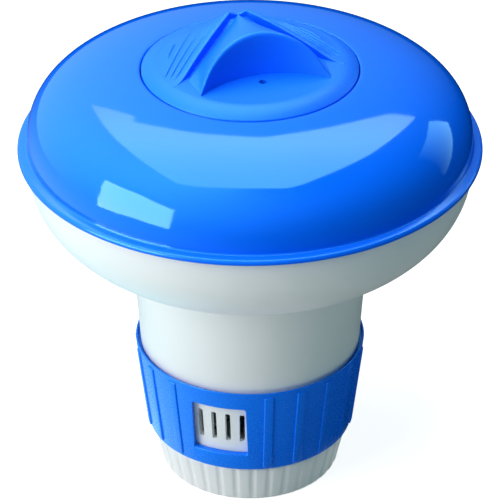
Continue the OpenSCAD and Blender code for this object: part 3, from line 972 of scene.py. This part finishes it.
# Fill light from all round, in a cool tint
FILL = 0.25
FILL_COLOUR = (0.36, 0.88, 1.0, 1)
world = bpy.data.worlds.new("white_studio")
bpy.context.scene.world = world
world.use_nodes = True
sky_tree = world.node_tree
sky_tree.nodes.clear()
fill_sky = add_node(sky_tree, "ShaderNodeBackground", {"Color": FILL_COLOUR, "Strength": FILL})
white_sky = add_node(sky_tree, "ShaderNodeBackground", {"Color": (1, 1, 1, 1), "Strength": 1.0})
sky = add_node(sky_tree, "ShaderNodeMixShader", {
    0: background_rays(sky_tree), 1: fill_sky.outputs[0], 2: white_sky.outputs[0],
})
add_node(sky_tree, "ShaderNodeOutputWorld", {"Surface": sky.outputs[0]})

# Paper: how much light it gives back, its own glow, and the tints of curtain and softbox
PAPER = 0.5
GLOW = 0.86
CURTAIN_COLOUR = (0.45, 0.88, 1.0, 1)
SOFTBOX_COLOUR = (0.84, 1.0, 1.0, 1)


def make_floor():
    """White floor that shows as the background and keeps a faint shadow."""
    material, tree = new_material("white_paper")
    paper = add_node(tree, "ShaderNodeBsdfDiffuse", {"Color": (PAPER, PAPER, PAPER, 1)})
    level = add_node(tree, "ShaderNodeMath", {0: background_rays(tree), 1: GLOW}, operation="MULTIPLY")
    glow = add_node(tree, "ShaderNodeEmission", {"Color": (1, 1, 1, 1), "Strength": level.outputs[0]})
    lit = add_node(tree, "ShaderNodeAddShader", {0: paper.outputs[0], 1: glow.outputs[0]})
    add_node(tree, "ShaderNodeOutputMaterial", {"Surface": lit.outputs[0]})
    fresh()
    bpy.ops.mesh.primitive_plane_add(size=8)
    floor = bpy.context.object
    floor.name = "floor"
    floor.data.materials.append(material)


def even_glow(name, level):
    """Evenly glowing paper."""
    material, tree = new_material(name)
    glow = add_node(tree, "ShaderNodeEmission", {"Color": (1, 1, 1, 1), "Strength": level})
    add_node(tree, "ShaderNodeOutputMaterial", {"Surface": glow.outputs[0]})
    return material


def graded_glow(name, bright_from, level, dark_at, bend, rise=0.0):
    """Glowing paper round the object that fades from its bright side and gains with height by its rise."""
    material, tree = new_material(name)
    place = add_node(tree, "ShaderNodeTexCoord").outputs["Object"]
    flat = add_node(tree, "ShaderNodeVectorMath", {0: place, 1: (1, 1, 0)}, operation="MULTIPLY")
    bearing = add_node(tree, "ShaderNodeVectorMath", {0: flat.outputs[0]}, operation="NORMALIZE")
    side = add_node(tree, "ShaderNodeVectorMath", {
        0: bearing.outputs[0], 1: bright_from,
    }, operation="DOT_PRODUCT")
    height = add_node(tree, "ShaderNodeSeparateXYZ", {0: place})
    higher = add_node(tree, "ShaderNodeMath", {
        0: height.outputs["Z"], 1: rise, 2: side.outputs["Value"],
    }, operation="MULTIPLY_ADD")
    share = add_node(tree, "ShaderNodeMapRange", {
        "Value": higher.outputs[0], "From Min": dark_at, "From Max": 1.0, "To Min": 0.0, "To Max": 1.0,
    }, clamp=False)
    lit = add_node(tree, "ShaderNodeMath", {0: share.outputs["Result"], 1: 0.0}, operation="MAXIMUM")
    bent = add_node(tree, "ShaderNodeMath", {0: lit.outputs[0], 1: bend}, operation="POWER")
    strength = add_node(tree, "ShaderNodeMath", {0: bent.outputs[0], 1: level}, operation="MULTIPLY")
    glow = add_node(tree, "ShaderNodeEmission", {
        "Color": CURTAIN_COLOUR, "Strength": strength.outputs[0],
    })
    add_node(tree, "ShaderNodeOutputMaterial", {"Surface": glow.outputs[0]})
    return material


def faded_glow(name, colour, far, far_level, near, near_level):
    """Glowing paper whose light changes between two places, in metres towards the camera."""
    material, tree = new_material(name)
    place = add_node(tree, "ShaderNodeTexCoord").outputs["Object"]
    ahead = add_node(tree, "ShaderNodeVectorMath", {0: place, 1: outwards}, operation="DOT_PRODUCT")
    strength = add_node(tree, "ShaderNodeMapRange", {
        "Value": ahead.outputs["Value"], "From Min": far, "From Max": near,
        "To Min": far_level, "To Max": near_level,
    })
    glow = add_node(tree, "ShaderNodeEmission", {"Color": colour, "Strength": strength.outputs["Result"]})
    add_node(tree, "ShaderNodeOutputMaterial", {"Surface": glow.outputs[0]})
    return material


def direction(turn, rise=0):
    """Direction seen from the object: turn to the right of the camera and rise, in degrees."""
    turn, rise = math.radians(turn), math.radians(rise)
    level = outwards * math.cos(turn) + rightwards * math.sin(turn)
    return level * math.cos(rise) + Vector((0, 0, math.sin(rise)))


def only_reflected(card):
    """Marks a card of the stage that shows in reflections alone and blocks no light."""
    card.visible_camera = False
    card.visible_diffuse = False
    card.visible_shadow = False


SURROUND_R = 2.0
SURROUND_STEPS = 96
MAT_R = 0.05


def make_surround():
    """Domed curtain and mat, bright on the left and above, and dark on the right."""
    fresh()
    bpy.ops.mesh.primitive_uv_sphere_add(
        segments=SURROUND_STEPS, ring_count=SURROUND_STEPS // 2, radius=SURROUND_R,
    )
    bpy.ops.object.shade_smooth()
    curtain = bpy.context.object
    curtain.name = "curtain"
    curtain.data.materials.append(
        graded_glow("graded_curtain", direction(-92), level=2.1, dark_at=-0.53, bend=1.6, rise=0.425)
    )
    only_reflected(curtain)
    fresh()
    bpy.ops.mesh.primitive_circle_add(vertices=SURROUND_STEPS, radius=SURROUND_R)
    mat = bpy.context.object
    mat.name = "floor_mat"
    bpy.ops.object.mode_set(mode="EDIT")
    bpy.ops.mesh.select_all(action="SELECT")
    bpy.ops.mesh.extrude_edges_move()
    bpy.ops.transform.resize(value=(MAT_R / SURROUND_R, MAT_R / SURROUND_R, 1))
    bpy.ops.mesh.select_all(action="SELECT")
    bpy.ops.transform.translate(value=(0, 0, MM))
    bpy.ops.object.mode_set(mode="OBJECT")
    mat.data.materials.append(graded_glow("graded_mat", direction(-75), level=2.2, dark_at=0.0, bend=1.8))
    only_reflected(mat)


def panel(name, corners, material, fill="TRIFAN"):
    """A glowing card, one face or a fan from its middle, with corners in metres right, near and up."""
    points = [rightwards * right + outwards * near + Vector((0, 0, up)) for right, near, up in corners]
    fresh()
    bpy.ops.mesh.primitive_circle_add(vertices=len(points), radius=1, fill_type=fill)
    card = bpy.context.object
    card.name = name
    border = [vertex for vertex in card.data.vertices if vertex.co.length > 0.5]
    inside = [vertex for vertex in card.data.vertices if vertex.co.length < 0.5]
    for vertex, point in zip(border, points):
        vertex.co = point
    for vertex in inside:
        vertex.co = sum(points, Vector()) / len(points)
    card.data.materials.append(material)
    only_reflected(card)


def add_lamp(name, aim, turn, rise, far, size, radiance, colour=(1, 1, 1)):
    """Square lamp of a given radiance, in a direction from its aim and not seen in reflections."""
    data = bpy.data.lights.new(name, "AREA")
    data.shape = "RECTANGLE"
    data.size = size
    data.size_y = size
    data.energy = radiance * math.pi * size * size
    data.color = colour
    lamp = bpy.data.objects.new(name, data)
    bpy.context.scene.collection.objects.link(lamp)
    lamp.location = aim + direction(turn, rise) * far
    lamp.rotation_euler = direction(turn, rise).to_track_quat("Z", "Y").to_euler()
    lamp.visible_camera = False
    lamp.visible_glossy = False


make_floor()
make_surround()
panel("left_panel", [
    (-0.504, 0.076, 0.490), (-0.426, 0.247, 0.525), (-0.332, 0.435, 0.461), (-0.361, 0.508, 0.272),
    (-0.372, 0.508, 0.089), (-0.505, 0.373, 0.116), (-0.589, 0.177, 0.072), (-0.581, 0.167, 0.299),
], even_glow("left_panel", 12.0))
panel("right_panel", [
    (0.371, -0.337, 0.457), (0.442, -0.356, 0.334), (0.528, -0.280, 0.232), (0.583, -0.138, 0.062),
    (0.592, -0.046, 0.306), (0.506, -0.050, 0.480),
], faded_glow("right_panel", CURTAIN_COLOUR, far=-0.35, far_level=4.2, near=-0.1, near_level=0.0))

# Softbox over the float, as the dome shows it: right and towards the camera, in units of its height
SOFTBOX_H = 0.9
softbox = [
    (-0.42, 0.11), (-0.30, 0.16), (0.22, 0.18), (0.29, 0.10), (0.55, -0.38), (0.87, -1.20), (0.56, -1.12),
    (0.27, -0.90), (0.04, -0.76), (-0.18, -0.82), (-0.42, -0.96), (-0.40, -1.05), (-0.74, -1.39),
    (-0.60, -0.68),
]
top = Vector((0, 0, SEAM_Z * MM))
softbox_z = SEAM_Z * MM + SOFTBOX_H
panel(
    "softbox", [(right * SOFTBOX_H, near * SOFTBOX_H, softbox_z) for right, near in softbox],
    faded_glow("softbox", SOFTBOX_COLOUR, far=-1.15, far_level=3.3, near=-0.575, near_level=6.0), "NGON",
)

add_lamp("overhead_lamp", top, turn=-85, rise=74, far=0.9, size=1.0, radiance=3.7)
add_lamp("left_lamp", top / 2, turn=-56, rise=24, far=1.0, size=0.7, radiance=4.9, colour=(1.0, 0.91, 0.93))
add_lamp("back_lamp", top / 2, turn=122, rise=6, far=0.9, size=0.5, radiance=0.6)

bpy.context.scene.view_settings.view_transform = "Standard"
